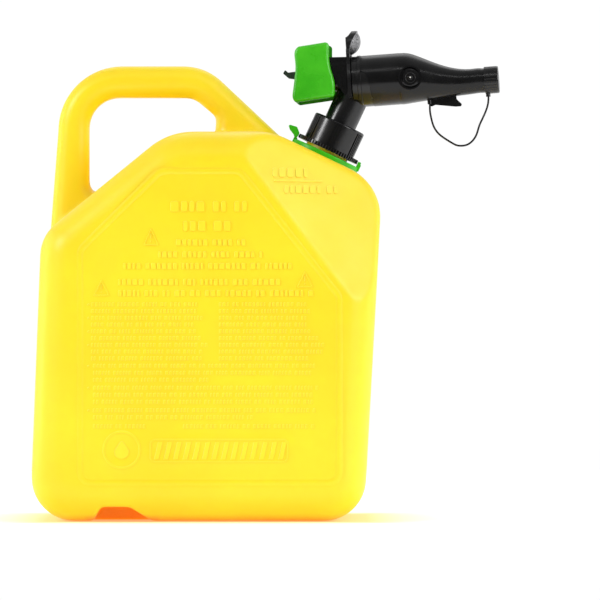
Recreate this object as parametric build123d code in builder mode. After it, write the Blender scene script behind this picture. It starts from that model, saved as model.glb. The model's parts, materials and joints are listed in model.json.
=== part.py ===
from build123d import *
from math import sin, cos, tan, radians, hypot, pi
import os

os.makedirs("parts", exist_ok=True)

# Five gallon safety fuel can with a squeeze-to-pour spout.  Millimetres, +Z up.
# Origin: on the floor under the can at mid depth.  +X is the pouring side, -Y the decorated face.

# ---------------------------------------------------------------- driving dimensions
depth = 240.0            # can, front to back
wall = 2.6               # blow-moulded wall
edge_r = 30.0            # big rounding of the front and back edges
can_outline = [(-148.2, 0), (-138.4, 250.4), (-26.0, 342.0), (64.3, 342.0),
               (161.7, 342.0 - 97.4 * tan(radians(25))), (145.4, 0)]
corner_r = [38.0, 36.0, 60.0, 60.0, 46.0, 37.0]
cheek_top = (42.9, 315.0)      # upper end of the crease where the sloped cheek starts
cheek_low = (129.5, 200.0)     # lower end of that crease
cheek_angle = 34.0             # how far the cheek leans back from the flat face
grip_pocket = [(-95.2, -6), (-92, 0), (-85, 13), (-60, 13), (-40.5, 0), (-31.2, -6)]   # hand pocket under the can, in side view
pocket_reach = 62.0      # half the web left between the two pockets

handle_w = 34.0          # handle, across
handle_r = 13.0          # rounding of its edges
neck_x = 110.5           # where the neck axis meets the sloped shoulder
neck_z = 342.0 - (neck_x - 64.3) * tan(radians(25))
neck_tilt = 25.0         # neck leans toward the pouring side
neck_or, neck_ir, neck_top = 20.0, 16.5, 27.0
thread_pitch = 5.0

spout_swivel = -5.0      # the spout is turned a little toward the decorated face
elbow_up = 75.3          # from the shoulder up the neck axis to the barrel axis
barrel_rise = 29.0       # barrel axis above the shoulder plane
tube_or, tube_ir = 14.7, 12.2
barrel_or = 22.9
nozzle_drop = 7.1        # the pouring tube runs below the barrel axis
stem_r = 2.0
button_travel = 11.0
teeth = 66               # ratchet teeth on the collar

# ---------------------------------------------------------------- frames
neck = Plane(origin=(neck_x, 0, neck_z),
             x_dir=(cos(radians(neck_tilt)), 0, -sin(radians(neck_tilt))),
             z_dir=(sin(radians(neck_tilt)), 0, cos(radians(neck_tilt))))
spout = Plane(origin=neck.origin, z_dir=neck.z_dir,
              x_dir=neck.from_local_coords((cos(radians(spout_swivel)), sin(radians(spout_swivel)), 0)) - neck.origin)
valve = Plane(origin=spout.from_local_coords((0, 0, elbow_up)),
              x_dir=spout.from_local_coords((cos(radians(barrel_rise)), 0, sin(radians(barrel_rise)))) - spout.origin,
              z_dir=spout.from_local_coords((-sin(radians(barrel_rise)), 0, cos(radians(barrel_rise)))) - spout.origin)
tube_dir = Vector(sin(radians(barrel_rise)), 0, cos(radians(barrel_rise)))   # neck axis seen in the valve frame


def inset(points, d):
    """Polygon with every side moved inward by d."""
    cx = sum(p[0] for p in points) / len(points)
    cz = sum(p[1] for p in points) / len(points)
    sides = []
    for a, b in zip(points, points[1:] + points[:1]):
        dx, dz = b[0] - a[0], b[1] - a[1]
        nx, nz = dz / hypot(dx, dz), -dx / hypot(dx, dz)
        if (cx - a[0]) * nx + (cz - a[1]) * nz < 0:
            nx, nz = -nx, -nz
        sides.append((a[0] + nx * d, a[1] + nz * d, dx, dz))
    result = []
    for i in range(len(sides)):
        x1, z1, dx1, dz1 = sides[i - 1]
        x2, z2, dx2, dz2 = sides[i]
        t = ((x2 - x1) * -dz2 + dx2 * (z2 - z1)) / (dx1 * -dz2 + dx2 * dz1)
        result.append((x1 + dx1 * t, z1 + dz1 * t))
    return result


core_outline = inset(can_outline, edge_r)
cheek_dir = Vector(cheek_low[0] - cheek_top[0], 0, cheek_low[1] - cheek_top[1]).normalized()
cheek_out = Vector(-cheek_dir.Z, 0, cheek_dir.X)


def cheek_plane(side, skin):
    """Plane of the sloped cheek on one side (-1 front, +1 back), moved inward by skin."""
    n = cheek_out * sin(radians(cheek_angle)) + Vector(0, side, 0) * cos(radians(cheek_angle))
    return Plane(origin=Vector(cheek_top[0], side * depth / 2, cheek_top[1]) - n * skin, x_dir=cheek_dir, z_dir=n)


# ---------------------------------------------------------------- cavity of the can
with BuildPart() as cavity:
    with BuildSketch(Plane.XZ):
        with BuildLine():
            Polyline(*core_outline, close=True)
        make_face()
    extrude(amount=depth / 2 - edge_r, both=True)
    for p, r in zip(core_outline, corner_r):
        fillet(cavity.edges().filter_by(Axis.Y).sort_by_distance(Vector(p[0], 0, p[1]))[0], r - edge_r)
    offset(amount=edge_r - wall)
    for side in (-1, 1):
        with Locations(cheek_plane(side, wall)):
            Box(600, 600, 200, align=(Align.CENTER, Align.CENTER, Align.MIN), mode=Mode.SUBTRACT)
    for side in (-1, 1):
        with BuildSketch(Plane.XZ.offset(-side * (pocket_reach - wall))):
            with BuildLine():
                Polyline(*grip_pocket, close=True)
            make_face()
            offset(amount=wall)
        extrude(amount=-side * depth, mode=Mode.SUBTRACT)

# handle region: outline minus the finger hole, used for both skins of the handle
handle_outline = [(-134.2, 243), (-126.3, 345), (-126.3, 402.4), (5.0, 402.4), (84.0, 328.2), (80.0, 300), (-20, 300), (-118, 226)]
hole_outline = [(-98.5, 278.5), (-98.5, 374.0), (-5.5, 374.0), (14.8, 357.0), (12.8, 336.5), (-24.5, 336.5)]

with BuildPart() as handle_core:
    with BuildSketch(Plane.XZ) as handle_face:
        with BuildLine():
            Polyline(*handle_outline, close=True)
        make_face()
        fillet(handle_face.vertices().sort_by_distance((-126.3, 402.4, 0))[0], 57)
        fillet(handle_face.vertices().sort_by_distance((5, 402.4, 0))[0], 48)
        fillet(handle_face.vertices().group_by(Axis.Y)[0], 8)
        with BuildSketch(mode=Mode.PRIVATE) as finger_hole:
            with BuildLine():
                Polyline(*hole_outline, close=True)
            make_face()
            for x, z, r in ((-98.5, 374.0, 27), (-98.5, 278.5, 10), (-5.5, 374.0, 18), (14.8, 357.0, 7), (12.8, 336.5, 3), (-24.5, 336.5, 14)):
                fillet(finger_hole.vertices().sort_by_distance((x, z, 0))[0], r)
        add(finger_hole.sketch, mode=Mode.SUBTRACT)
        offset(amount=-wall)
    extrude(amount=handle_w / 2 - wall, both=True)
    fillet(handle_core.faces().filter_by(Axis.Y).edges(), handle_r - wall)

with BuildPart() as handle_skin:
    with BuildSketch(Plane.XZ):
        add(handle_face.sketch)
        offset(amount=wall)
    extrude(amount=handle_w / 2, both=True)
    fillet(handle_skin.faces().filter_by(Axis.Y).edges(), handle_r)

# upper part of the neck with its thread, one and three quarter turns
with BuildPart() as neck_thread:
    with BuildLine() as neck_helix:
        Helix(thread_pitch, thread_pitch * 1.75, neck_or - 0.3)
    with BuildSketch(Plane(neck_helix.line @ 0, x_dir=(1, 0, 0), z_dir=neck_helix.line % 0)):
        with BuildLine():
            Polyline((0, -1.3), (0.3, -1.3), (1.9, -0.6), (1.9, 0.6), (0.3, 1.3), (0, 1.3), close=True)
        make_face()
    sweep(path=neck_helix.line, is_frenet=True)

with BuildPart() as neck_tube:
    with BuildSketch(Plane.XY.offset(10)):
        Circle(neck_or)
        Circle(neck_ir, mode=Mode.SUBTRACT)
    extrude(amount=neck_top - 10)
    fillet(neck_tube.edges().group_by(Axis.Z)[-1], 0.8)
    add(neck_thread.part.moved(Location((0, 0, 13.6))))

# ---------------------------------------------------------------- can_body
with BuildPart() as can_body:
    with BuildSketch(Plane.XZ):
        with BuildLine():
            Polyline(*core_outline, close=True)
        make_face()
    extrude(amount=depth / 2 - edge_r, both=True)
    for p, r in zip(core_outline, corner_r):
        fillet(can_body.edges().filter_by(Axis.Y).sort_by_distance(Vector(p[0], 0, p[1]))[0], r - edge_r)
    offset(amount=edge_r)
    # sloped cheeks either side of the neck, their creases softened
    for side in (-1, 1):
        with Locations(cheek_plane(side, 0)):
            Box(600, 600, 200, align=(Align.CENTER, Align.CENTER, Align.MIN), mode=Mode.SUBTRACT)

    cheeks = [f for f in can_body.faces() if f.geom_type == GeomType.PLANE
              and abs(abs(f.normal_at().Y) - cos(radians(cheek_angle))) < 0.01]
    fillet([e for f in cheeks for e in f.edges()], 9)

    # hand pockets in the underside, one from each flat face
    for side in (-1, 1):
        with BuildSketch(Plane.XZ.offset(-side * pocket_reach)):
            with BuildLine():
                Polyline(*grip_pocket, close=True)
            make_face()
        extrude(amount=-side * depth, mode=Mode.SUBTRACT)

    add(handle_skin.part)

    # threaded neck
    with BuildSketch(neck.offset(-9)):
        Circle(neck_or)
    extrude(amount=19)

    # raised ring and bar on the decorated face
    with BuildSketch(Plane(origin=(-66.5, -depth / 2 + 0.4, 63), x_dir=(1, 0, 0), z_dir=(0, -1, 0))):
        Circle(17)
        Circle(14.6, mode=Mode.SUBTRACT)
    extrude(amount=1.2)
    with BuildSketch(Plane(origin=(18.6, -depth / 2 + 0.4, 62.2), x_dir=(1, 0, 0), z_dir=(0, -1, 0))):
        RectangleRounded(121.6, 21, 4)
        RectangleRounded(118.4, 17.8, 2.6, mode=Mode.SUBTRACT)
    extrude(amount=1.2)

    # hollow it out
    add(cavity.part, mode=Mode.SUBTRACT)

    add(handle_core.part, mode=Mode.SUBTRACT)

    with BuildSketch(neck.offset(-40)):
        Circle(neck_ir)
    extrude(amount=neck_top + 60, mode=Mode.SUBTRACT)

    add(neck_tube.part.moved(neck.location))

can_body.part.label = "can_body"
export_step(can_body.part, "parts/can_body.step")

# ---------------------------------------------------------------- lock_ring
# green ring round the neck with an end post on the pouring side and a short post root on the other
with BuildPart() as lock_ring:
    with BuildSketch():
        SlotOverall(64, 58)
        Circle(neck_or + 0.3, mode=Mode.SUBTRACT)
    extrude(amount=5)
    fillet(lock_ring.edges().group_by(Axis.Z)[-1], 1.2)
    with Locations((30.6, 0, 2)):
        Box(3, 15, 8.2, align=(Align.CENTER, Align.CENTER, Align.MIN))
    with Locations((31.6, 0, 2)):
        Box(2.4, 3, 6.2, align=(Align.CENTER, Align.CENTER, Align.MIN))
    fillet(lock_ring.edges().group_by(Axis.Z)[-1], 0.8)
    with Locations((-30.4, 0, 2)):
        Box(3.2, 15, 4, align=(Align.CENTER, Align.CENTER, Align.MIN))
lock_ring.part.locate(neck.location)
lock_ring.part.label = "lock_ring"
export_step(lock_ring.part, "parts/lock_ring.step")

# ---------------------------------------------------------------- release_tab
# flexing pawl above the post root: a nose facing the ratchet teeth and a flared finger tab
with BuildPart() as release_tab:
    with BuildSketch(Plane.XZ) as tab_side:
        with BuildLine():
            Polyline((-31.8, 6.05), (-29.6, 6.05), (-29.6, 8.0), (-29.05, 8.6), (-29.05, 9.8), (-29.4, 11.4), (-33.4, 15.2),
                     (-40.0, 14.2), (-40.6, 13.0), (-38.3, 10.4), (-33.5, 8.0), close=True)
        make_face()
        fillet(tab_side.vertices().sort_by_distance((-33.4, 15.2, 0))[0], 2)
        fillet(tab_side.vertices().sort_by_distance((-38.3, 10.4, 0))[0], 1.5)
    extrude(amount=8.5, both=True)
    chamfer(release_tab.faces().filter_by(Axis.Y).edges().filter_by(lambda e: e.center().Z > 9.9), 0.5)
release_tab.part.locate(neck.location)
release_tab.part.label = "release_tab"
export_step(release_tab.part, "parts/release_tab.step")

# ---------------------------------------------------------------- neck_gasket
with BuildPart() as neck_gasket:
    with BuildSketch(Plane.XY.offset(neck_top)):
        Circle(neck_or - 0.1)
        Circle(neck_ir, mode=Mode.SUBTRACT)
    extrude(amount=1.5)
    fillet(neck_gasket.edges(), 0.3)
neck_gasket.part.locate(neck.location)
neck_gasket.part.label = "neck_gasket"
export_step(neck_gasket.part, "parts/neck_gasket.step")

# ---------------------------------------------------------------- screw_collar
flange_bottom, flange_top, collar_top, skirt_r = 7.4, 10.9, 34.5, 23.8
with BuildPart() as collar_thread:
    with BuildLine() as collar_helix:
        Helix(thread_pitch, thread_pitch * 1.75, 22.5)
    with BuildSketch(Plane(collar_helix.line @ 0, x_dir=(1, 0, 0), z_dir=collar_helix.line % 0)):
        with BuildLine():
            Polyline((0, -1.2), (-0.3, -1.2), (-1.6, -0.5), (-1.6, 0.5), (-0.3, 1.2), (0, 1.2), close=True)
        make_face()
    sweep(path=collar_helix.line, is_frenet=True)

with BuildPart() as screw_collar:
    with BuildSketch(Plane.XZ):
        with BuildLine():
            Polyline((22.2, flange_bottom), (skirt_r - 0.1, flange_bottom), (skirt_r, collar_top), (15.1, collar_top),
                     (15.1, 31.4), (22.2, 31.4), close=True)
        make_face()
    revolve(axis=Axis.Z)
    fillet(screw_collar.edges().group_by(Axis.Z)[-1].sort_by(SortBy.LENGTH)[-1], 1.8)
    # saw-tooth rim
    with BuildSketch(Plane.XY.offset(flange_bottom)):
        with BuildLine():
            Polyline(*[(r * cos(2 * pi * (i + d) / teeth), r * sin(2 * pi * (i + d) / teeth))
                       for i in range(teeth) for r, d in ((27.5, 0), (28.75, 0.12), (28.75, 0.5))], close=True)
        make_face()
        Circle(skirt_r - 0.5, mode=Mode.SUBTRACT)
    extrude(amount=flange_top - flange_bottom)
    # six groups of four narrow grip ribs
    with BuildSketch(Plane.XY.offset(flange_top)):
        for g in range(6):
            for k in (-1.5, -0.5, 0.5, 1.5):
                with Locations(Rotation(0, 0, 60 * g + 5.2 * k - 90) * Pos(skirt_r, 0, 0)):
                    Rectangle(1.6, 0.9)
    extrude(amount=collar_top - flange_top - 2.2)
    add(collar_thread.part.moved(Location((0, 0, 16.1))))
screw_collar.part.locate(neck.location)
screw_collar.part.label = "screw_collar"
export_step(screw_collar.part, "parts/screw_collar.step")

# ---------------------------------------------------------------- elbow_body (valve frame)
foot = tube_dir * -(elbow_up - 28.6)     # underside of the clamping flange
foot_plane = Plane(origin=foot, x_dir=(0, 1, 0), z_dir=tube_dir)
# the stop ring reaches further forward below a slanted step
with BuildPart() as stop_step:
    with BuildSketch(Plane.YZ.offset(2.5)):
        Circle(22.7)
    extrude(amount=10)
    with BuildSketch(Plane.XZ):
        with BuildLine():
            Polyline((2.5, 7.0), (3.7, 6.9), (7.2, 5.2), (9.2, 0.8), (10.2, -5.2), (11.9, -26), (2.5, -26), close=True)
        make_face()
    extrude(amount=30, both=True, mode=Mode.INTERSECT)

with BuildPart() as elbow_body:
    with BuildSketch(foot_plane):
        Circle(tube_or)
    extrude(amount=62)
    # closed roof of the tube behind the barrel
    with Locations((-40, 0, 6.2)):
        Box(120, 80, 60, align=(Align.CENTER, Align.CENTER, Align.MIN), mode=Mode.SUBTRACT)
    with BuildSketch(foot_plane):
        Circle(neck_or)
    extrude(amount=2.7)
    # barrel with its stop ring, and the spigot the nozzle shell slides over
    with BuildSketch(Plane.XZ):
        with BuildLine():
            Polyline((-6.2, 0), (-6.2, 21.9), (-5.2, 22.7), (-0.8, 22.7), (-0.4, 23.3), (2.4, 23.3), (2.8, 22.7), (2.8, 20.4),
                     (12, 20.4), (12, 18.9), (14.6, 18.9), (14.6, 20.4), (29, 20.4), (30, 19.6), (30, 0), close=True)
        make_face()
    revolve(axis=Axis.X)
    add(stop_step.part)
    # rear gland for the stem
    with BuildSketch(Plane.YZ.offset(-23.8)):
        Circle(6.8)
    extrude(amount=14)
    # rail frame behind the shield
    with BuildSketch(Plane.XZ) as rail_side:
        with BuildLine():
            Polyline((-38, 4.6), (-38, 21.4), (-36, 23.4), (-6, 23.4 - 1.6), (-6, -12), (-13, -12), (-21.5, 1.5), (-24, 4.6), close=True)
        make_face()
    extrude(amount=14, both=True)
    # shallow dimples along the upper side rails, a long window, and stiffening ribs below
    for side in (-1, 1):
        with Locations((-22.5, side * 14, 11.2)):
            Box(25, 2.4, 6.6, mode=Mode.SUBTRACT)
        with Locations(*[(-35 + 3.4 * i, side * 14, 18.6) for i in range(8)]):
            Cylinder(1.1, 1.2, rotation=(90, 0, 0), mode=Mode.SUBTRACT)
        with Locations(*[(-18.5 + 3.6 * i, side * 14.1, 0) for i in range(3)]):
            Box(1.1, 1.4, 8.4 - 0)
    # inside of the rail frame, open below and behind
    with Locations((-45, 0, 6.2)):
        Box(36, 24, 14.6, align=(Align.MIN, Align.CENTER, Align.MIN), mode=Mode.SUBTRACT)
    with Locations((-45, 0, 0)):
        Box(21.2, 24, 12.5, align=(Align.MIN, Align.CENTER, Align.CENTER), mode=Mode.SUBTRACT)
    # flow passage
    with BuildSketch(foot_plane.offset(-1)):
        Circle(tube_ir)
    extrude(amount=43, mode=Mode.SUBTRACT)
    with BuildSketch(Plane.XZ):
        with BuildLine():
            Polyline((-3.4, 0), (-3.4, 14), (0, 17.2), (31, 17.2), (31, 0), close=True)
        make_face()
    revolve(axis=Axis.X, mode=Mode.SUBTRACT)
    # stem bore, seal groove and bush pocket
    with BuildSketch(Plane.YZ.offset(-30)):
        Circle(stem_r + 0.06)
    extrude(amount=40, mode=Mode.SUBTRACT)
    with BuildSketch(Plane.YZ.offset(-24)):
        Circle(4.5)
    extrude(amount=6.6, mode=Mode.SUBTRACT)
elbow_body.part.locate(valve.location)
elbow_body.part.label = "elbow_body"
export_step(elbow_body.part, "parts/elbow_body.step")

# ---------------------------------------------------------------- valve_seat
with BuildPart() as valve_seat:
    with BuildSketch(Plane.XZ):
        with BuildLine():
            Polyline((26, 8.6), (26, 17.2), (30, 17.2), (30, 7.4), (28.8, 6.6), close=True)
        make_face()
    revolve(axis=Axis.X)
    with Locations((28, 0, -12.5)):
        Cylinder(2.2, 12, rotation=(0, 90, 0), mode=Mode.SUBTRACT)
valve_seat.part.locate(valve.location)
valve_seat.part.label = "valve_seat"
export_step(valve_seat.part, "parts/valve_seat.step")

# ---------------------------------------------------------------- vent_tube
with BuildPart() as vent_tube:
    with BuildSketch(Plane(origin=(24, 0, -12.5), x_dir=(0, 1, 0), z_dir=(1, 0, 0))):
        Circle(2.2)
        Circle(1.5, mode=Mode.SUBTRACT)
    extrude(amount=93)
vent_tube.part.locate(valve.location)
vent_tube.part.label = "vent_tube"
export_step(vent_tube.part, "parts/vent_tube.step")

# ---------------------------------------------------------------- nozzle_shell
# circles along the barrel axis: position, drop of the centre, radius
nozzle_sections = [(36, 0, 22.9), (41, 0.1, 22.8), (47, 0.35, 21.95), (53, 1.3, 20.5), (60, 2.65, 18.55), (70, 4.65, 15.85),
                   (82, 6.35, 13.15), (92, nozzle_drop, 11.7), (101, nozzle_drop, 11.2), (110, nozzle_drop, 10.95)]
nozzle_wall = 2.2
with BuildPart() as nozzle_bore:
    for x, c, r in [(31, 0, 22.9)] + nozzle_sections:
        with BuildSketch(Plane(origin=(x, 0, -c), x_dir=(0, 1, 0), z_dir=(1, 0, 0))):
            Circle(r - nozzle_wall)
    loft()

with BuildPart() as nozzle_shell:
    for x, c, r in nozzle_sections:
        with BuildSketch(Plane(origin=(x, 0, -c), x_dir=(0, 1, 0), z_dir=(1, 0, 0))):
            Circle(r)
    loft()
    with BuildSketch(Plane.YZ.offset(2.9)):
        Circle(barrel_or)
    extrude(amount=33.1)
    with BuildSketch(Plane(origin=(110, 0, -nozzle_drop), x_dir=(0, 1, 0), z_dir=(1, 0, 0))):
        Circle(10.95)
    extrude(amount=10.5)
    # hook below the nozzle, with the tether socket at its rear end
    with BuildSketch(Plane.XZ) as hook_side:
        with BuildLine():
            Polyline((59.4, -20.2), (60.2, -22.0), (62.4, -27.0), (66.3, -25.6), (84, -28.5), (89.0, -28.5), (89.8, -26.5), (85.6, -22), (85.2, -18.3), close=True)
        make_face()
        for x, z in ((66.3, -25.6), (62.4, -27.0), (89.0, -28.5), (89.8, -26.5)):
            fillet(hook_side.vertices().sort_by_distance((x, z, 0))[0], 1)
    extrude(amount=1.3, both=True)
    with Locations((61.2, 0, -24.6)):
        Cylinder(1.9, 4.4, align=(Align.CENTER, Align.CENTER, Align.MIN))
    # round boss with a rim on the decorated side
    with BuildSketch(Plane(origin=(46.4, -22.0, -1.2), x_dir=(0.968, 0.25, 0), z_dir=(0.25, -0.968, 0)).offset(-1.6)):
        Circle(10.7)
        Circle(9.3, mode=Mode.SUBTRACT)
    extrude(amount=2.1)
    with BuildSketch(Plane(origin=(46.4, -22.0, -1.2), x_dir=(0.968, 0.25, 0), z_dir=(0.25, -0.968, 0)).offset(-1.6)):
        Circle(6.7)
    extrude(amount=2.6)
    # hollow
    with BuildSketch(Plane.YZ.offset(0)):
        Circle(20.8)
    extrude(amount=31, mode=Mode.SUBTRACT)
    add(nozzle_bore.part, mode=Mode.SUBTRACT)
    with BuildSketch(Plane(origin=(110, 0, -nozzle_drop), x_dir=(0, 1, 0), z_dir=(1, 0, 0))):
        Circle(8.75)
    extrude(amount=20, mode=Mode.SUBTRACT)
    with Locations((61.2, 0, -29)):
        Cylinder(1.0, 6.6, align=(Align.CENTER, Align.CENTER, Align.MIN), mode=Mode.SUBTRACT)
    # stepped rear edge
    with BuildSketch(Plane.XZ):
        with BuildLine():
            Polyline((2.9, 30), (2.9, 8.6), (4.0, 7.3), (7.5, 5.5), (9.5, 1), (10.5, -5), (12.2, -30), (-5, -30), (-5, 30), close=True)
        make_face()
    extrude(amount=40, both=True, mode=Mode.SUBTRACT)
nozzle_shell.part.locate(valve.location)
nozzle_shell.part.label = "nozzle_shell"
export_step(nozzle_shell.part, "parts/nozzle_shell.step")

# ---------------------------------------------------------------- shell_seal
with BuildPart() as shell_seal:
    with BuildSketch(Plane.XZ):
        with Locations((13.3, 19.86)):
            Circle(0.92)
    revolve(axis=Axis.X)
shell_seal.part.locate(valve.location)
shell_seal.part.label = "shell_seal"
export_step(shell_seal.part, "parts/shell_seal.step")

# ---------------------------------------------------------------- finger_shield
# cupped tongue leaning forward at the top
with BuildPart() as shield_tongue:
    with BuildSketch(Plane.XZ):
        with BuildLine():
            Polyline((-9.2, 18), (-9.3, 28), (-8.7, 34), (-6.3, 39.5), (-3.2, 44), (-0.8, 45.6), (1.2, 45.2), (0.0, 42.5),
                     (-3.2, 37), (-5.6, 32), (-6.2, 26), (-6.2, 18), close=True)
        make_face()
    extrude(amount=12.5, both=True)
    with Locations((-9.5, 0, 36.5)):
        Sphere(12.9)
    with Locations((-10.4, 0, 36.5)):
        Sphere(11.2, mode=Mode.SUBTRACT)
    with BuildSketch(Plane.YZ.offset(-9.25)):
        with Locations((0, 30.1)):
            SlotOverall(31, 25, rotation=90)
    extrude(amount=20, mode=Mode.INTERSECT)

with BuildPart() as finger_shield:
    with BuildSketch(Plane.YZ.offset(-9.2)):
        Circle(24)
        with Locations((0, -12)):
            RectangleRounded(48, 30, 4)
        with Locations((0, 19)):
            RectangleRounded(37, 22, 7)
        with Locations((0, -15)):
            Rectangle(60, 60, align=(Align.CENTER, Align.MAX), mode=Mode.SUBTRACT)
    extrude(amount=3)
    add(shield_tongue.part)
    # openings for the rail frame and the tube
    with Locations((-8, 0, -20)):
        Box(12, 30.4, 26.6, align=(Align.CENTER, Align.CENTER, Align.MIN), mode=Mode.SUBTRACT)
    with Locations((-8, 0, -20)):
        Box(12, 28.4, 43.6, align=(Align.CENTER, Align.CENTER, Align.MIN), mode=Mode.SUBTRACT)
finger_shield.part.locate(valve.location)
finger_shield.part.label = "finger_shield"
export_step(finger_shield.part, "parts/finger_shield.step")

# ---------------------------------------------------------------- control_button
with BuildPart() as control_button:
    with BuildSketch(Plane.XZ) as button_side:
        with BuildLine():
            Spline((-50.5, 33.9), (-54.0, 30.9), (-54.8, 21), (-55.1, 13), (-56.6, 4.4), (-58.5, -5.3), (-59.2, -10.5), (-58.2, -14.0), (-55.6, -15.7))
            Line((-55.6, -15.7), (-22.5, -13.3))
            Spline((-22.5, -13.3), (-21.4, -8.6), (-20.9, -2.3), (-21.7, 4.2), (-23.3, 10.7), (-24.3, 19.4), (-24.2, 26.5), (-23.3, 36.2))
            Line((-23.3, 36.2), (-50.5, 33.9))
        make_face()
        fillet(button_side.vertices(), 3.4)
    extrude(amount=23, both=True)
    fillet(control_button.faces().filter_by(Axis.Y).edges(), 3.0)
    with BuildSketch(Plane.XZ):
        with BuildLine():
            Polyline((-51.9, 42), (-51.9, 24), (-52.3, 13), (-53.8, 4.4), (-55.6, -5.3), (-56.4, -10), (-56, -22), (0, -22), (0, 42), close=True)
        make_face()
    extrude(amount=19.2, both=True, mode=Mode.SUBTRACT)
    # runners in the side windows of the rail frame
    for side in (-1, 1):
        with Locations((-28.5, side * 16.4, 11.2)):
            Box(9, 6.6, 5.8)
    # stem socket and the two lugs of the latch pin
    with BuildSketch(Plane.YZ.offset(-55.5)):
        Circle(4.5)
    extrude(amount=5.1)
    with Locations((-47.2, 4.9, 12), (-47.2, -4.9, 12)):
        Box(12.4, 3.2, 7)
    with Locations((-54, 0, 4.3)):
        Box(8, 6.8, 12.4, align=(Align.CENTER, Align.CENTER, Align.MIN), mode=Mode.SUBTRACT)
    with Locations((-44, 0, 12)):
        Cylinder(1.5, 20, rotation=(90, 0, 0), mode=Mode.SUBTRACT)
    with BuildSketch(Plane.YZ.offset(-53.6)):
        Circle(stem_r)
    extrude(amount=10, mode=Mode.SUBTRACT)
control_button.part.locate(valve.location)
control_button.part.label = "control_button"
export_step(control_button.part, "parts/control_button.step")

# ---------------------------------------------------------------- safety_latch
with BuildPart() as safety_latch:
    with BuildSketch(Plane.XZ) as latch_side:
        with BuildLine():
            Polyline((-67.6, 12.2), (-65.6, 15.3), (-63.0, 12.7), (-54, 13.2), (-46, 15.6), (-39, 18.6), (-36.5, 18.6), (-36.5, 15.5),
                     (-41, 9.4), (-46, 8.4), (-58.4, 6.6), (-63, 7.6), close=True)
        make_face()
        for x, z in ((-65.6, 15.3), (-67.6, 12.2), (-63, 7.6), (-36.5, 18.6)):
            fillet(latch_side.vertices().sort_by_distance((x, z, 0))[0], 0.8)
    extrude(amount=2.8, both=True)
    with Locations((-44, 0, 12)):
        Cylinder(1.56, 12, rotation=(90, 0, 0), mode=Mode.SUBTRACT)
safety_latch.part.locate(valve.location)
safety_latch.part.label = "safety_latch"
export_step(safety_latch.part, "parts/safety_latch.step")

# ---------------------------------------------------------------- latch_pin
with BuildPart() as latch_pin:
    with Locations((-44, 0, 12)):
        Cylinder(1.5, 13, rotation=(90, 0, 0))
    chamfer(latch_pin.edges().filter_by(GeomType.CIRCLE), 0.3)
latch_pin.part.locate(valve.location)
latch_pin.part.label = "latch_pin"
export_step(latch_pin.part, "parts/latch_pin.step")

# ---------------------------------------------------------------- valve_stem
with BuildPart() as valve_stem:
    with BuildSketch(Plane.XZ):
        with BuildLine():
            Polyline((-53.4, 0), (-53.4, stem_r - 0.4), (-53.0, stem_r), (-50.1, stem_r), (-50.1, 1.5), (-49.2, 1.5), (-49.2, stem_r),
                     (36.4, stem_r), (37, stem_r - 0.6), (37, 0), close=True)
        make_face()
    revolve(axis=Axis.X)
valve_stem.part.locate(valve.location)
valve_stem.part.label = "valve_stem"
export_step(valve_stem.part, "parts/valve_stem.step")

# ---------------------------------------------------------------- stem_clip
with BuildPart() as stem_clip:
    with BuildSketch(Plane.YZ.offset(-50.1)):
        Circle(5.4)
        Circle(1.5, mode=Mode.SUBTRACT)
        with Locations((0, -4)):
            Rectangle(2.6, 8, mode=Mode.SUBTRACT)
    extrude(amount=0.9)
stem_clip.part.locate(valve.location)
stem_clip.part.label = "stem_clip"
export_step(stem_clip.part, "parts/stem_clip.step")

# ---------------------------------------------------------------- stem_bush
with BuildPart() as stem_bush:
    with BuildSketch(Plane.YZ.offset(-23.9)):
        Circle(4.5)
        Circle(stem_r + 0.04, mode=Mode.SUBTRACT)
    extrude(amount=4.4)
stem_bush.part.locate(valve.location)
stem_bush.part.label = "stem_bush"
export_step(stem_bush.part, "parts/stem_bush.step")

# ---------------------------------------------------------------- stem_seal
with BuildPart() as stem_seal:
    with BuildSketch(Plane.XZ):
        with Locations((-18.45, 3.06)):
            Circle(1.0)
    revolve(axis=Axis.X)
stem_seal.part.locate(valve.location)
stem_seal.part.label = "stem_seal"
export_step(stem_seal.part, "parts/stem_seal.step")

# ---------------------------------------------------------------- return_spring
with BuildPart() as return_spring:
    with BuildLine() as coil:
        Helix(4.1, 4.1 * 5.8, 4.2)
    with BuildSketch(Plane(coil.line @ 0, z_dir=coil.line % 0)):
        Circle(0.55)
    sweep(path=coil.line, is_frenet=True)
return_spring.part.locate(valve.location * Location((-48.5, 0, 0), (0, 90, 0)))
return_spring.part.label = "return_spring"
export_step(return_spring.part, "parts/return_spring.step")

# ---------------------------------------------------------------- valve_poppet
with BuildPart() as valve_poppet:
    with BuildSketch(Plane.XZ):
        with BuildLine():
            Polyline((31.2, stem_r), (31.2, 8.8), (33.6, 8.8), (36.8, 4.4), (36.8, stem_r), close=True)
        make_face()
    revolve(axis=Axis.X)
valve_poppet.part.locate(valve.location)
valve_poppet.part.label = "valve_poppet"
export_step(valve_poppet.part, "parts/valve_poppet.step")

# ---------------------------------------------------------------- poppet_seal
with BuildPart() as poppet_seal:
    with BuildSketch(Plane.YZ.offset(30.02)):
        Circle(8.6)
        Circle(stem_r + 0.1, mode=Mode.SUBTRACT)
    extrude(amount=1.18)
poppet_seal.part.locate(valve.location)
poppet_seal.part.label = "poppet_seal"
export_step(poppet_seal.part, "parts/poppet_seal.step")

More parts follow.
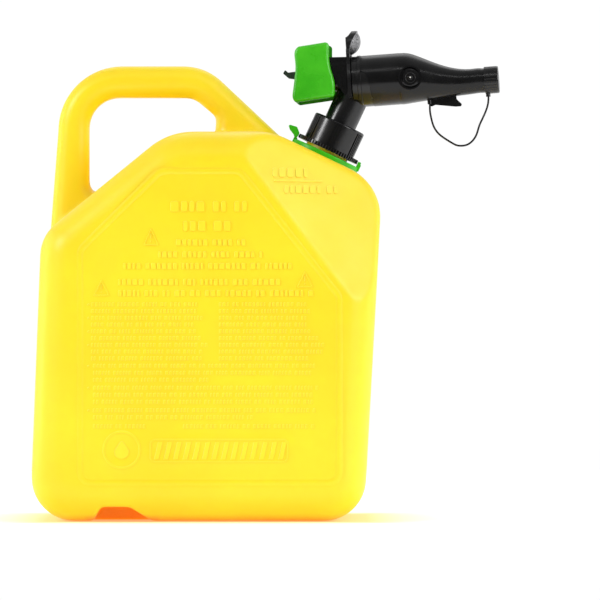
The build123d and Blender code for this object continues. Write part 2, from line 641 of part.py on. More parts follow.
# ---------------------------------------------------------------- end_cap
cap_plane = Plane(origin=(111.6, 0, -nozzle_drop), x_dir=(0, 1, 0), z_dir=(1, 0, 0))
with BuildPart() as end_cap:
    with BuildSketch(cap_plane):
        Circle(12.1)
        with PolarLocations(12.45, 28):
            Circle(0.55, mode=Mode.SUBTRACT)
    extrude(amount=10.6)
    with BuildSketch(cap_plane.offset(10.6)):
        Circle(12.1)
    extrude(amount=1.9)
    fillet(end_cap.edges().group_by(Axis.X)[-1], 1.1)
    with Locations((113.8, 0, -21.8)):
        Cylinder(2.0, 4.4, align=(Align.CENTER, Align.CENTER, Align.MIN))
    with BuildSketch(cap_plane.offset(-2)):
        Circle(11.0)
    extrude(amount=11.2, mode=Mode.SUBTRACT)
    with Locations((113.8, 0, -22.2)):
        Cylinder(0.95, 2.8, align=(Align.CENTER, Align.CENTER, Align.MIN), mode=Mode.SUBTRACT)
end_cap.part.locate(valve.location)
end_cap.part.label = "end_cap"
export_step(end_cap.part, "parts/end_cap.step")

# ---------------------------------------------------------------- cap_tether
with BuildPart() as cap_tether:
    with BuildLine() as cord:
        Spline((61.2, 0, -22.6), (61.2, 0, -26), (61.0, 0, -29.7), (61.7, 0, -37.4), (63.3, 0, -44.5), (66.3, 0, -50.2), (71.9, 0, -55.7), (78.5, 0, -60.5),
               (82.6, 0, -62.9), (86.8, 0, -63.7), (92.0, 0, -63.1), (97.3, 0, -59.7), (101.2, 0, -54.0), (103.8, 0, -47.3),
               (106.8, 0, -41.6), (110.4, 0, -34.9), (113.2, 0, -27.2), (113.8, 0, -23), (113.8, 0, -19.6))
    with BuildSketch(Plane(cord.line @ 0, z_dir=cord.line % 0)):
        Circle(0.88)
    sweep(path=cord.line)
cap_tether.part.locate(valve.location)
cap_tether.part.label = "cap_tether"
export_step(cap_tether.part, "parts/cap_tether.step")
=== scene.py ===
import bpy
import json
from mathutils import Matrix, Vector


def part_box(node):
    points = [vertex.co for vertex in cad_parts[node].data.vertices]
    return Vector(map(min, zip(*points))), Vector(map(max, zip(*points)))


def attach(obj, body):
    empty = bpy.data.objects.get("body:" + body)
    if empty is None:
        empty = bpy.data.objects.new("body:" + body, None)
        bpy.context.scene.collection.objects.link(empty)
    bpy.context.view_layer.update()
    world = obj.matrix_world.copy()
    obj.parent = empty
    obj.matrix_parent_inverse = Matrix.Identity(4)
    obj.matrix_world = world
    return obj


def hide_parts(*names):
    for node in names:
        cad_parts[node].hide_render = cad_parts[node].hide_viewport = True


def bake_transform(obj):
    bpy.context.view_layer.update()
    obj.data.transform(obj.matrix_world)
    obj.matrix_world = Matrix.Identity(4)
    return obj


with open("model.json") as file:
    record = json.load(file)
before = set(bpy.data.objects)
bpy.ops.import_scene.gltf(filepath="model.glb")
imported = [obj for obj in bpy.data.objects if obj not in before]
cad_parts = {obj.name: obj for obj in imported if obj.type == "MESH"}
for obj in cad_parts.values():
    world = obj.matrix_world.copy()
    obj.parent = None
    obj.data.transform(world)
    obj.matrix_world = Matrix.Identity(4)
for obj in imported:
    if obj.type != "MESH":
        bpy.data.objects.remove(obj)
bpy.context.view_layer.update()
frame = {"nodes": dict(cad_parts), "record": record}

import bpy, bmesh, json, math, random
from mathutils import Vector, Matrix

MM = 0.001
nodes = frame["nodes"]
record = frame["record"]
joints = {j["name"]: j for j in record["behaviour"]["joints"]}
random.seed(7)

# ------------------------------------------------------------------ frames read from the record
neck_n = Vector(joints["collar_turn"]["axis"]).normalized()
neck_o = Vector(joints["collar_turn"]["pos_m"]) - neck_n * 20 * MM
neck_y = Vector((0, 1, 0))
neck_x = neck_y.cross(neck_n).normalized()
barrel_u = Vector(joints["button_push"]["axis"]).normalized()
barrel_y = (-Vector(joints["latch_tilt"]["axis"])).normalized()
barrel_z = barrel_u.cross(barrel_y).normalized()
barrel_o = Vector(joints["latch_tilt"]["pos_m"]) + barrel_u * 44 * MM - barrel_z * 12 * MM


def axes(o, x, y, z):
    return Matrix(((x.x, y.x, z.x, o.x), (x.y, y.y, z.y, o.y), (x.z, y.z, z.z, o.z), (0, 0, 0, 1)))


NECK = axes(neck_o, neck_x, neck_y, neck_n)
BARREL = axes(barrel_o, barrel_u, barrel_y, barrel_z)
can_lo, can_hi = (Vector(c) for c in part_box("can_body"))
front_y = can_lo.y + 0.8 * MM          # the flat decorated face; the CAD box includes its raised ring
back_y = can_hi.y


# ------------------------------------------------------------------ procedural materials
class Net:
    def __init__(self, name):
        self.m = bpy.data.materials.new(name)
        self.m.use_nodes = True
        self.t = self.m.node_tree
        self.t.nodes.clear()
        self.out = self.t.nodes.new("ShaderNodeOutputMaterial")
        self.p = self.t.nodes.new("ShaderNodeBsdfPrincipled")
        self.t.links.new(self.p.outputs[0], self.out.inputs[0])
        self.co = self.t.nodes.new("ShaderNodeTexCoord").outputs["Object"]
        self.geo = self.t.nodes.new("ShaderNodeNewGeometry")

    def link(self, a, b):
        self.t.links.new(a, b)

    def noise(self, scale, detail=4, rough=0.5, co=None):
        n = self.t.nodes.new("ShaderNodeTexNoise")
        n.inputs["Scale"].default_value = scale
        n.inputs["Detail"].default_value = detail
        n.inputs["Roughness"].default_value = rough
        self.link(co or self.co, n.inputs["Vector"])
        return n.outputs["Fac"]

    def ramp(self, fac, stops):
        r = self.t.nodes.new("ShaderNodeValToRGB")
        el = r.color_ramp.elements
        while len(el) < len(stops):
            el.new(0.5)
        for e, (pos, col) in zip(el, stops):
            e.position = pos
            e.color = (col if len(col) == 4 else (*col, 1))
        self.link(fac, r.inputs[0])
        return r.outputs[0]

    def math(self, op, a, b=None, clamp=False):
        n = self.t.nodes.new("ShaderNodeMath")
        n.operation = op
        n.use_clamp = clamp
        for i, v in enumerate((a, b)):
            if v is None:
                continue
            if isinstance(v, (int, float)):
                n.inputs[i].default_value = v
            else:
                self.link(v, n.inputs[i])
        return n.outputs[0]

    def maprange(self, v, a, b, c, d):
        n = self.t.nodes.new("ShaderNodeMapRange")
        self.link(v, n.inputs["Value"])
        for k, x in zip(("From Min", "From Max", "To Min", "To Max"), (a, b, c, d)):
            n.inputs[k].default_value = x
        return n.outputs["Result"]

    def mix(self, fac, a, b):
        n = self.t.nodes.new("ShaderNodeMix")
        n.data_type = "RGBA"
        if isinstance(fac, (int, float)):
            n.inputs["Factor"].default_value = fac
        else:
            self.link(fac, n.inputs["Factor"])
        for s, v in ((n.inputs[6], a), (n.inputs[7], b)):
            if isinstance(v, tuple):
                s.default_value = (*v, 1) if len(v) == 3 else v
            else:
                self.link(v, s)
        return n.outputs[2]

    def xyz(self, co=None):
        n = self.t.nodes.new("ShaderNodeSeparateXYZ")
        self.link(co or self.co, n.inputs[0])
        return n.outputs

    def bump(self, height, strength, dist, normal=None):
        n = self.t.nodes.new("ShaderNodeBump")
        n.inputs["Strength"].default_value = strength
        n.inputs["Distance"].default_value = dist
        self.link(height, n.inputs["Height"])
        if normal is not None:
            self.link(normal, n.inputs["Normal"])
        return n.outputs[0]

    def set(self, **kw):
        names = {"color": "Base Color", "rough": "Roughness", "normal": "Normal", "metal": "Metallic", "spec": "Specular IOR Level",
                 "sss": "Subsurface Weight", "sss_radius": "Subsurface Radius", "sss_scale": "Subsurface Scale", "coat": "Coat Weight",
                 "coat_rough": "Coat Roughness"}
        for k, v in kw.items():
            s = self.p.inputs[names[k]]
            if hasattr(v, "is_linked") or hasattr(v, "links"):
                self.link(v, s)
            else:
                s.default_value = v
        return self.m


# side sets the strength of the painted shade on the lower right edges of raised marks; 0 gives the plain yellow
def yellow_plastic(name="yellow polyethylene", side=0.0):
    n = Net(name)
    x, y, z = n.xyz()
    cloud = n.noise(9, 3)
    flow = n.noise(38, 5, 0.6)
    grain = n.noise(900, 3, 0.65)
    col = n.mix(n.maprange(cloud, 0.35, 0.65, 0, 1), (1.0, 0.70, 0.010), (1.0, 0.77, 0.016))
    col = n.mix(n.maprange(flow, 0.30, 0.75, 0, 0.35), col, (1.0, 0.64, 0.006))
    # painted shade: the colour deepens to orange in the lowest few millimetres, near the floor and at the underside
    # groove
    col = n.mix(n.maprange(z, 0.007, -0.001, 0, 0.55), col, (1.0, 0.42, 0.004))
    # painted shade: the insides of the hand pockets are painted orange, as the dim light there looks
    pocket_shade = n.math("MULTIPLY", n.maprange(z, 0.0150, 0.0120, 0, 1), n.maprange(n.math("ABSOLUTE", y), 0.108, 0.099, 0, 1))
    pocket_shade = n.math("MULTIPLY", pocket_shade, n.maprange(n.math("ABSOLUTE", n.math("ADD", x, 0.0662)), 0.034, 0.030, 0, 1))
    pocket_shade = n.math("MULTIPLY", pocket_shade, n.maprange(z, 0.0004, 0.0016, 0, 1))
    col = n.mix(pocket_shade, col, (1.0, 0.46, 0.03))
    if side:
        # painted highlight and shade: every raised mark is painted a little lighter, lighter still on its upper left
        # edges, and deeper in colour on its lower right edges
        nx, ny, nz = n.xyz(n.geo.outputs["True Normal"])
        edge_shade_mask = n.maprange(n.math("ABSOLUTE", ny), 0.97, 0.75, 0, 1)
        light_facing = n.math("SUBTRACT", nz, nx)
        col = n.mix(0.30, col, (1.0, 0.84, 0.04))
        col = n.mix(n.math("MULTIPLY", edge_shade_mask, n.maprange(light_facing, 0.0, 0.8, 0, 1)), col, (1.0, 0.95, 0.16))
        col = n.mix(n.math("MULTIPLY", edge_shade_mask, n.maprange(light_facing, 0.0, -0.8, 0, side)), col, (1.0, 0.40, 0.002))
    rough = n.maprange(flow, 0.3, 0.7, 0.34, 0.46)
    # mould parting line round the middle of the can
    seam = n.maprange(n.math("ABSOLUTE", y), 0.0, 0.00055, 1, 0)
    h = n.math("ADD", n.math("MULTIPLY", grain, 0.25), n.math("MULTIPLY", flow, 0.6))
    h = n.math("ADD", h, n.math("MULTIPLY", seam, 1.1))
    return n.set(color=col, rough=rough, normal=n.bump(h, 0.35, 0.0006), spec=0.45, sss=0.06 if side else 0.18,
                 sss_radius=(1.0, 0.55, 0.04), sss_scale=0.006)


def solid_plastic(name, dark, light, rough=(0.3, 0.5), fine=1400, bump=0.12, spec=0.5, swirl=60):
    n = Net(name)
    cloud = n.noise(swirl, 4)
    grain = n.noise(fine, 2, 0.6)
    dust = n.noise(420, 6, 0.7)
    col = n.mix(n.maprange(cloud, 0.3, 0.7, 0, 1), dark, light)
    col = n.mix(n.maprange(dust, 0.66, 0.82, 0, 0.30), col, tuple(min(1, c * 1.6 + 0.02) for c in light))
    r = n.maprange(cloud, 0.3, 0.7, *rough)
    h = n.math("ADD", n.math("MULTIPLY", grain, 0.5), n.math("MULTIPLY", cloud, 0.5))
    return n.set(color=col, rough=r, normal=n.bump(h, bump, 0.0004), spec=spec)


def steel(name):
    n = Net(name)
    brushed = n.noise(700, 3, 0.7)
    col = n.mix(n.maprange(brushed, 0.3, 0.7, 0, 1), (0.45, 0.45, 0.46), (0.66, 0.66, 0.67))
    return n.set(color=col, rough=n.maprange(brushed, 0.3, 0.7, 0.22, 0.4), metal=1.0, normal=n.bump(brushed, 0.1, 0.0002))


YELLOW = yellow_plastic()
# lighter copy of the yellow for the raised marks, with painted highlight and painted shade on their edges
YELLOW_MARK_PAINTED_LIGHT = yellow_plastic("yellow polyethylene, raised marks", 0.6)
GREEN = solid_plastic("green plastic", (0.022, 0.360, 0.003), (0.070, 0.540, 0.014), (0.20, 0.36), spec=0.45, swirl=24)
GREEN_RING = solid_plastic("green ring plastic", (0.030, 0.430, 0.004), (0.048, 0.540, 0.008), (0.32, 0.48), spec=0.35)
BLACK = solid_plastic("black plastic", (0.0022, 0.0022, 0.0024), (0.0045, 0.0045, 0.0047), (0.17, 0.28), fine=1700, bump=0.07, spec=0.30)
BLACK_SATIN = solid_plastic("black plastic, satin", (0.0026, 0.0026, 0.0028), (0.0055, 0.0055, 0.0058), (0.17, 0.28), fine=1500, bump=0.10, spec=0.42)
LATCH = solid_plastic("dark green-black plastic", (0.012, 0.022, 0.016), (0.022, 0.036, 0.026), (0.3, 0.45))
RUBBER = solid_plastic("seal rubber", (0.010, 0.010, 0.010), (0.020, 0.020, 0.020), (0.6, 0.8), bump=0.3)
ACETAL = solid_plastic("natural acetal", (0.62, 0.61, 0.56), (0.72, 0.71, 0.67), (0.25, 0.4))
STEEL = steel("bright steel")

finish = {"can_yellow": YELLOW, "lock_green": GREEN_RING, "button_green": GREEN, "spout_black": BLACK, "latch_dark": LATCH,
          "rubber_black": RUBBER, "acetal_white": ACETAL, "spring_steel": STEEL}
slot_of = {s["node"]: s["material_slot"] for s in record["subparts"]}


def paint(o, mat):
    if len(o.material_slots) == 0:
        o.data.materials.append(mat)
    for s in o.material_slots:
        s.material = mat


for name, o in nodes.items():
    paint(o, finish[slot_of[name]])
for name in ("screw_collar", "end_cap", "elbow_body"):
    paint(nodes[name], BLACK_SATIN)


def shield_plastic(o):
    """Black plate whose tongue has a rough, stippled forward face that looks grey."""
    n = Net("black plastic, stippled tongue")
    inv = o.matrix_world.inverted()
    up, fwd = (inv.to_3x3() @ v for v in (barrel_z, barrel_u))
    start = inv @ (barrel_o + barrel_z * 25 * MM)

    def along(v, axis):
        d = n.t.nodes.new("ShaderNodeVectorMath")
        d.operation = "DOT_PRODUCT"
        n.link(v, d.inputs[0])
        d.inputs[1].default_value = axis
        return d.outputs["Value"]

    nrm = n.t.nodes.new("ShaderNodeTexCoord").outputs["Normal"]
    high = n.maprange(n.math("SUBTRACT", along(n.co, up), start.dot(up)), 0.0, 0.004, 0, 1)
    face = n.maprange(along(nrm, fwd), 0.15, 0.45, 0, 1)
    mask = n.math("MULTIPLY", high, face)
    dots = n.noise(900, 2, 0.5)
    cloud = n.noise(60, 4)
    body = n.mix(n.maprange(cloud, 0.3, 0.7, 0, 1), (0.0030, 0.0030, 0.0032), (0.0060, 0.0060, 0.0063))
    grey = n.mix(n.maprange(dots, 0.50, 0.58, 0, 1), (0.30, 0.30, 0.31), (0.015, 0.015, 0.015))
    col = n.mix(mask, body, grey)
    return n.set(color=col, rough=n.maprange(cloud, 0.3, 0.7, 0.22, 0.36), normal=n.bump(dots, 0.3, 0.0003), spec=0.45)


paint(nodes["finger_shield"], shield_plastic(nodes["finger_shield"]))


def soften(o, width, segments=2, angle=30):
    b = o.modifiers.new("edge", "BEVEL")
    b.width = width * MM
    b.segments = segments
    b.limit_method = "ANGLE"
    b.angle_limit = math.radians(angle)
    b.harden_normals = False
    w = o.modifiers.new("normals", "WEIGHTED_NORMAL")
    w.keep_sharp = False


# ------------------------------------------------------------------ the can: blended like a blow moulding
can = nodes["can_body"]
re = can.modifiers.new("skin", "REMESH")
re.mode = "VOXEL"
re.voxel_size = 1.5 * MM
re.use_smooth_shade = True
sm = can.modifiers.new("blend", "SMOOTH")
sm.factor = 0.5
sm.iterations = 22

for name, w in (("lock_ring", 0.35), ("release_tab", 0.3), ("screw_collar", 0.22), ("elbow_body", 0.3), ("nozzle_shell", 0.3),
                ("finger_shield", 0.5), ("safety_latch", 0.35), ("end_cap", 0.25), ("control_button", 0.3)):
    soften(nodes[name], w)


# ------------------------------------------------------------------ helpers for added geometry
def new_object(name, bm, mat, body, smooth=True):
    me = bpy.data.meshes.new(name)
    bmesh.ops.recalc_face_normals(bm, faces=bm.faces[:])
    bm.to_mesh(me)
    bm.free()
    for p in me.polygons:
        p.use_smooth = smooth
    o = bpy.data.objects.new(name, me)
    bpy.context.scene.collection.objects.link(o)
    me.materials.append(mat)
    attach(o, body)
    return o


def pad(bm, outline, place, low, high, draft):
    """A raised plateau: outline (list of 2-D points, anticlockwise) from low to high, drawn in by draft at the top."""
    cx = sum(p[0] for p in outline) / len(outline)
    cy = sum(p[1] for p in outline) / len(outline)
    n = len(outline)
    top = []
    for i, p in enumerate(outline):
        a, b = Vector(outline[i - 1]), Vector(outline[(i + 1) % n])
        t = (b - a).normalized()
        top.append((p[0] - t.y * draft, p[1] + t.x * draft))
    mid = [(p[0] * 0.75 + q[0] * 0.25, p[1] * 0.75 + q[1] * 0.25) for p, q in zip(outline, top)]
    rings = []
    for pts, h in ((outline, low), (mid, low + (high - low) * 0.8), (top, high)):
        rings.append([bm.verts.new(place(x, y, h)) for x, y in pts])
    for a, b in zip(rings, rings[1:]):
        for i in range(n):
            bm.faces.new((a[i], a[(i + 1) % n], b[(i + 1) % n], b[i]))
    bm.faces.new(rings[-1])
    bm.faces.new(rings[0][::-1])


def rounded(x0, y0, x1, y1, r, k=3):
    r = min(r, (x1 - x0) / 2 - 1e-6, (y1 - y0) / 2 - 1e-6)
    pts = []
    for cx, cy, a0 in ((x1 - r, y0 + r, -90), (x1 - r, y1 - r, 0), (x0 + r, y1 - r, 90), (x0 + r, y0 + r, 180)):
        for i in range(k + 1):
            a = math.radians(a0 + 90 * i / k)
            pts.append((cx + r * math.cos(a), cy + r * math.sin(a)))
    return pts


def on_face(y_face, sign=-1):
    return lambda x, z, h: Vector((x * MM, y_face + sign * h * MM, z * MM))


def word_row(bm, place, x0, x1, z, h, relief=0.55):
    """One row of plain raised blocks of uneven widths, with word gaps: it stands for a moulded line, and spells nothing."""
    x = x0
    while x < x1 - h * 0.4:
        left = random.choice((2, 3, 4, 5, 6, 7))
        for _ in range(left):
            w = h * random.uniform(0.42, 0.80)
            if x + w > x1:
                break
            pad(bm, rounded(x, z - h / 2, x + w, z + h / 2, h * 0.16, 2), place, -0.3, relief, min(0.25, h * 0.09))
            x += w + h * 0.20
        x += h * 0.55


def outline_ring(bm, pts_out, pts_in, place, high):
    n = len(pts_out)
    rows = []
    for pts, h in ((pts_out, -0.3), ([(p[0] * 0.85 + q[0] * 0.15, p[1] * 0.85 + q[1] * 0.15) for p, q in zip(pts_out, pts_in)], high),
                   ([(p[0] * 0.15 + q[0] * 0.85, p[1] * 0.15 + q[1] * 0.85) for p, q in zip(pts_out, pts_in)], high), (pts_in, -0.3)):
        rows.append([bm.verts.new(place(x, y, h)) for x, y in pts])
    for a, b in zip(rows, rows[1:] + rows[:1]):
        for i in range(n):
            bm.faces.new((a[i], a[(i + 1) % n], b[(i + 1) % n], b[i]))


def triangle(cx, cz, w, h, inset):
    """Rounded triangle outline, outer and inner rings."""
    corners = [(cx - w / 2, cz - h / 2), (cx + w / 2, cz - h / 2), (cx, cz + h / 2)]
    rings = []
    for d in (0, inset):
        mx, mz = cx, cz - h / 6
        pts = []
        s = 1 - d / (h / 3)
        cs = [(mx + (x - mx) * s, mz + (z - mz) * s) for x, z in corners]
        for i in range(3):
            p, q, r = Vector(cs[i - 1]), Vector(cs[i]), Vector(cs[(i + 1) % 3])
            a, b = q + (p - q).normalized() * 1.6 * s, q + (r - q).normalized() * 1.6 * s
            for t in (0, 0.5, 1):
                m = a.lerp(q, t).lerp(q.lerp(b, t), t)
                pts.append((m.x, m.y))
        rings.append(pts)
    return rings


# ------------------------------------------------------------------ raised marks on the front face (plain blocks, no lettering)
front = on_face(front_y)
bm = bmesh.new()
FX = lambda a: 89.2 + ((a - 200) * 0.8922 - 89.2) / 1.0213       # layout units to millimetres across
FZ = lambda b: 194.0 + ((521 - b) * 0.8922 - 3.2 - 194.0) / 1.0213
ROWS = [(170.4, 250.4, 206.5, 12.0), (183.2, 240.8, 226.0, 11.4), (176, 249, 242.6, 7.0), (158, 265, 254.6, 7.0), (123, 293, 266.2, 7.0),
        (118, 285, 282.2, 7.0), (118, 318, 293.4, 7.0)]
for x0, x1, y, h in ROWS:
    word_row(bm, front, FX(x0), FX(x1), FZ(y), h * 0.8, 0.75)
for i in range(9):
    y = 304.6 + 6.75 * i
    word_row(bm, front, FX(91), FX(random.uniform(196, 209)), FZ(y), 3.7, 0.5)
    word_row(bm, front, FX(219), FX(random.uniform(308, 326)), FZ(y), 3.7, 0.5)
for y, x1 in ((366, 318), (373, 312), (380, 210), (388, 320), (395, 316), (402, 318), (410.5, 318), (417.5, 255)):
    word_row(bm, front, FX(93), FX(x1), FZ(y), 3.7, 0.5)
word_row(bm, front, FX(93), FX(150), FZ(426.5), 3.7, 0.5)
word_row(bm, front, FX(183), FX(316), FZ(426.5), 3.7, 0.5)
for y in (304.6, 318.1, 331.6, 345.1, 366, 388, 410.5):
    pad(bm, rounded(FX(87.2), FZ(y) - 1.0, FX(87.2) + 2.0, FZ(y) + 1.0, 1.0, 4), front, -0.3, 0.6, 0.3)
for cx, cy, w, h in ((151.2, 236.4, 16, 18), (101.5, 287.5, 17, 17), (305, 279, 17, 17)):
    o_, i_ = triangle(FX(cx), FZ(cy), w * 0.89, h * 0.89, 1.3)
    outline_ring(bm, o_, i_, front, 0.75)
    pad(bm, rounded(FX(cx) - 0.7, FZ(cy) - 2.2, FX(cx) + 0.7, FZ(cy) + 2.6, 0.7, 3), front, -0.3, 0.6, 0.25)
    pad(bm, rounded(FX(cx) - 0.7, FZ(cy) - 5.0, FX(cx) + 0.7, FZ(cy) - 3.5, 0.7, 3), front, -0.3, 0.6, 0.25)
def circle(cx, cy, r, k=64):
    return [(cx + r * math.cos(2 * math.pi * i / k), cy + r * math.sin(2 * math.pi * i / k)) for i in range(k)]


outline_ring(bm, circle(-66.5, 63, 17.0), circle(-66.5, 63, 14.6), front, 0.9)
outline_ring(bm, rounded(-42.2, 51.7, 79.4, 72.7, 5.0, 6), rounded(-40.6, 53.3, 77.8, 71.1, 3.6, 6), front, 0.9)
# slanted bars inside the long frame and a plain drop inside the ring
for i in range(14):
    x = -38.5 + i * 8.35
    pad(bm, [(x, 54.6), (x + 4.4, 54.6), (x + 8.0, 69.8), (x + 3.6, 69.8)], front, -0.3, 0.75, 0.4)
drop = []
for i in range(28):
    a = 2 * math.pi * i / 28
    r = 6.6 * (1 + 0.42 * max(0, math.sin(a)) ** 6)
    drop.append((-66.5 + r * math.cos(a) * (1 - 0.35 * max(0, math.sin(a)) ** 2), 61.4 + r * math.sin(a)))
pad(bm, drop, front, -0.3, 0.85, 0.7)
new_object("front_relief", bm, YELLOW_MARK_PAINTED_LIGHT, "can", smooth=False)


def bead(bm, corners, radius, half, high, place):
    """A soft raised bead along a closed polygon with rounded corners."""
    path = []
    n = len(corners)
    for i in range(n):
        p, q, r = (Vector(c) for c in (corners[i - 1], corners[i], corners[(i + 1) % n]))
        u, v = (p - q).normalized(), (r - q).normalized()
        reach = min(radius / math.tan(u.angle(v) / 2), (p - q).length * 0.45, (r - q).length * 0.45)
        a, b = q + u * reach, q + v * reach
        for t in (k / 8 for k in range(9)):
            path.append(a.lerp(q, t).lerp(q.lerp(b, t), t))
    m = len(path)
    rows = []
    for f, h in ((-1, -0.35), (-0.72, 0.10), (-0.40, 0.75), (0, 1.0), (0.40, 0.75), (0.72, 0.10), (1, -0.35)):
        row = []
        for i, p in enumerate(path):
            t = (path[(i + 1) % m] - path[i - 1]).normalized()
            q = p + Vector((-t.y, t.x)) * f * half
            row.append(bm.verts.new(place(q.x, q.y, h * high if h > 0 else h)))
        rows.append(row)
    for a, b in zip(rows, rows[1:]):
        for i in range(m):
            bm.faces.new((a[i], a[(i + 1) % m], b[(i + 1) % m], b[i]))


bm = bmesh.new()
bead(bm, [(FX(a), FZ(b)) for a, b in ((80, 483), (339, 483), (339, 296), (240, 171), (160, 171), (80, 250))], 11, 3.6, 0.8, front)
bead(bm, [(FX(a), FZ(b)) for a, b in ((80, 483), (339, 483), (339, 296), (240, 171), (160, 171), (80, 250))], 11, 3.6, 0.8,
     on_face(back_y, 1))
new_object("panel_beads", bm, YELLOW, "can")

# level mark on the cheek, front and back
crease_a, crease_b = Vector((42.9, 0, 315.0)), Vector((129.5, 0, 200.0))
cd = (crease_b - crease_a).normalized()
co_ = Vector((-cd.z, 0, cd.x))
bm = bmesh.new()
for side in (-1, 1):
    lean = math.radians(34)
    nrm = co_ * math.sin(lean) + Vector((0, side, 0)) * math.cos(lean)
    xa = Vector((1, 0, 0)) - nrm * nrm.x
    xa.normalize()
    za = Vector((0, 0, 1)) - nrm * nrm.z
    za = (za - xa * za.dot(xa)).normalized()
    org = Vector((crease_a.x, side * 120.0, crease_a.z))
    # the point of the cheek plane straight behind (x, z) seen from the front
    def cheek(x, z, h, side=side, nrm=nrm, org=org):
        y = org.y - ((x - org.x) * nrm.x + (z - org.z) * nrm.z) / nrm.y
        return (Vector((x, y, z)) + nrm * h) * MM
    word_row(bm, cheek, 65, 104, 305.5, 8.4, 0.85)
    pad(bm, rounded(66, 297.2, 109, 299.0, 0.8, 3), cheek, -0.3, 0.9, 0.3)
    word_row(bm, cheek, 75, 126, 290.6, 7.0, 0.85)
new_object("level_marks", bm, YELLOW_MARK_PAINTED_LIGHT, "can", smooth=False)

# ------------------------------------------------------------------ gate dot, coloured pale as a painted highlight, and moulded rings on the boss of the nozzle
boss_n = Vector((0.25, -0.968, 0)).normalized()
boss_x = Vector((0.968, 0.25, 0)).normalized()


def on_boss(a, b, h):
    return BARREL @ ((Vector((46.4, -22.0, -1.2)) + boss_x * a + Vector((0, 0, 1)) * b + boss_n * (1.0 + h)) * MM)


bm = bmesh.new()
outline_ring(bm, circle(0, 0, 4.9), circle(0, 0, 3.9), on_boss, 0.45)
pad(bm, circle(0, 0, 2.5, 32), on_boss, -0.3, 0.75, 1.2)
new_object("boss_rings", bm, BLACK, "spout")
bm = bmesh.new()
# the raised gate dot is real shape; its pale acetal colour is a painted highlight
pad(bm, circle(0, 0, 0.75, 20), on_boss, 0.4, 1.05, 0.35)
new_object("gate_dot_painted_highlight", bm, ACETAL, "spout")

# ------------------------------------------------------------------ cord and spring: smooth-shaded copies take the place of the CAD parts, which are hidden
def soft_copy(node, name):
    src = nodes[node]
    o = bpy.data.objects.new(name, src.data.copy())
    bpy.context.scene.collection.objects.link(o)
    o.matrix_world = src.matrix_world.copy()
    for p in o.data.polygons:
        p.use_smooth = True
    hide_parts(node)
    return o


cord = soft_copy("cap_tether", "cap_cord")
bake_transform(cord)
coil = soft_copy("return_spring", "valve_spring")
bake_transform(coil)

# ------------------------------------------------------------------ studio
floor_mat = Net("pale floor")
fn = floor_mat.noise(3, 3)
gx, gy, gz = floor_mat.xyz(floor_mat.geo.outputs["Position"])
# distance outside the can's footprint, for a painted warm glow on the floor round the can's lower edge
half_x = (can_hi.x - can_lo.x) / 2 - 0.012
mid_x = (can_hi.x + can_lo.x) / 2
ox = floor_mat.math("MAXIMUM", floor_mat.math("SUBTRACT", floor_mat.math("ABSOLUTE", floor_mat.math("SUBTRACT", gx, mid_x)), half_x), 0.0)
oy = floor_mat.math("MAXIMUM", floor_mat.math("SUBTRACT", floor_mat.math("ABSOLUTE", gy), 0.108), 0.0)
off = floor_mat.math("SQRT", floor_mat.math("ADD", floor_mat.math("MULTIPLY", ox, ox), floor_mat.math("MULTIPLY", oy, oy)))
painted_warm_glow = floor_mat.maprange(off, 0.0, 0.10, 1, 0)
painted_warm_glow = floor_mat.math("MULTIPLY", painted_warm_glow, painted_warm_glow)
white = floor_mat.mix(floor_mat.maprange(fn, 0.3, 0.7, 0, 1), (0.94, 0.94, 0.94), (0.96, 0.96, 0.96))
floor_and_painted_glow = floor_mat.mix(floor_mat.math("MULTIPLY", painted_warm_glow, 0.80), white, (1.0, 0.60, 0.22))
floor_mat.set(color=floor_and_painted_glow, rough=0.9, spec=0.1)
# the floor gives off its own colour so that it reads evenly white; the painted warm patch near the can glows with it
floor_mat.link(floor_and_painted_glow, floor_mat.p.inputs["Emission Color"])
floor_mat.p.inputs["Emission Strength"].default_value = 0.42
bm = bmesh.new()
bmesh.ops.create_circle(bm, cap_ends=True, segments=96, radius=1.5)
me = bpy.data.meshes.new("floor")
bm.to_mesh(me)
bm.free()
floor = bpy.data.objects.new("floor", me)
bpy.context.scene.collection.objects.link(floor)
floor.location = (0.06, 0.1, -0.0004)
me.materials.append(floor_mat.m)

world = bpy.data.worlds.new("studio")
world.use_nodes = True
bpy.context.scene.world = world
wt = world.node_tree
wt.nodes.clear()
w_out = wt.nodes.new("ShaderNodeOutputWorld")
w_mix = wt.nodes.new("ShaderNodeMixShader")
w_path = wt.nodes.new("ShaderNodeLightPath")
w_seen = wt.nodes.new("ShaderNodeBackground")
w_lit = wt.nodes.new("ShaderNodeBackground")
w_co = wt.nodes.new("ShaderNodeTexCoord")
w_sep = wt.nodes.new("ShaderNodeSeparateXYZ")
wt.links.new(w_co.outputs["Generated"], w_sep.inputs[0])


def wmath(op, p, q=None):
    k = wt.nodes.new("ShaderNodeMath")
    k.operation = op
    for i, v in enumerate((p, q)):
        if v is None:
            continue
        if isinstance(v, (int, float)):
            k.inputs[i].default_value = v
        else:
            wt.links.new(v, k.inputs[i])
    return k.outputs[0]


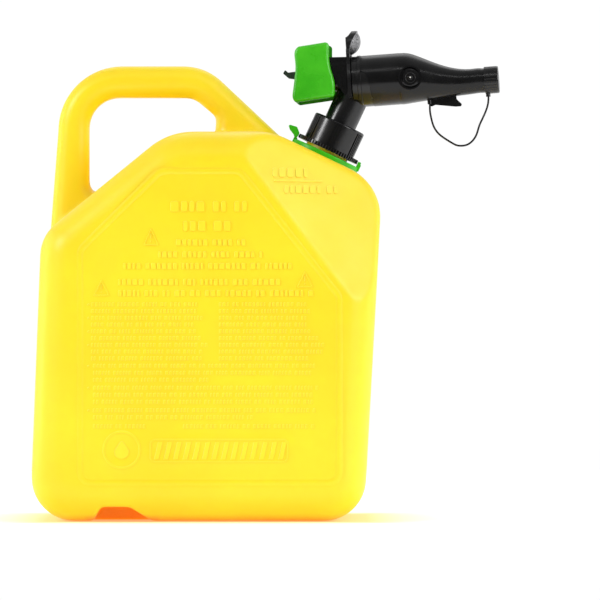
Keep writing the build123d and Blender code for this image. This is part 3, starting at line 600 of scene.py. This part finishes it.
# soft boxes to the sides and behind, a darker studio in front
w_val = wmath("ADD", wmath("MULTIPLY", w_sep.outputs["Y"], 0.45), wmath("MULTIPLY", wmath("ABSOLUTE", w_sep.outputs["X"]), 0.35))
w_val = wmath("ADD", wmath("ADD", w_val, wmath("MULTIPLY", w_sep.outputs["Z"], 0.10)), 0.35)
w_val = wmath("MINIMUM", wmath("MAXIMUM", w_val, 0.0), 1.0)
w_val = wmath("ADD", wmath("MULTIPLY", w_val, 0.70), 0.16)
wt.links.new(w_val, w_lit.inputs[1])
w_lit.inputs[0].default_value = (1, 1, 1, 1)
w_seen.inputs[0].default_value = (1, 1, 1, 1)
w_seen.inputs[1].default_value = 1.02
wt.links.new(w_path.outputs["Is Camera Ray"], w_mix.inputs[0])
wt.links.new(w_lit.outputs[0], w_mix.inputs[1])
wt.links.new(w_seen.outputs[0], w_mix.inputs[2])
wt.links.new(w_mix.outputs[0], w_out.inputs[0])


def lamp(name, loc, target, size, power, colour=(1, 1, 1)):
    d = bpy.data.lights.new(name, "AREA")
    d.shape = "RECTANGLE"
    d.size, d.size_y = size
    d.energy = power
    d.color = colour
    o = bpy.data.objects.new(name, d)
    bpy.context.scene.collection.objects.link(o)
    o.location = loc
    o.rotation_euler = (Vector(target) - Vector(loc)).to_track_quat("-Z", "Y").to_euler()
    return o


lamp("key", (-1.6, -0.95, 1.15), (0.05, -0.12, 0.22), (0.4, 0.7), 17.5)
lamp("fill", (1.9, -1.3, 1.05), (0.1, -0.1, 0.25), (0.7, 1.2), 24)
lamp("strip", (0.25, -1.15, 1.60), (0.2, 0, 0.38), (1.5, 0.06), 2.2)
lamp("back", (0.2, 1.4, 1.9), (0.1, 0, 0.2), (1.6, 1.0), 5)
lamp("rim_left", (-1.9, 0.5, 0.6), (0, 0, 0.2), (0.8, 1.4), 6)
lamp("rim_right", (2.0, 0.5, 0.8), (0.1, 0, 0.3), (0.8, 1.4), 6)

scene = bpy.context.scene
scene.view_settings.view_transform = "Standard"
scene.view_settings.look = "None"
cam = bpy.data.cameras.new("camera")
cam_o = bpy.data.objects.new("camera", cam)
scene.collection.objects.link(cam_o)
cam.sensor_width = 36
distance = 5.75
cam.lens = 36 * distance / 0.53532
cam.clip_end = 60
cam_o.location = (0.0892, -distance, 0.1940)
cam_o.rotation_euler = (math.radians(90), 0, 0)
scene.camera = cam_o
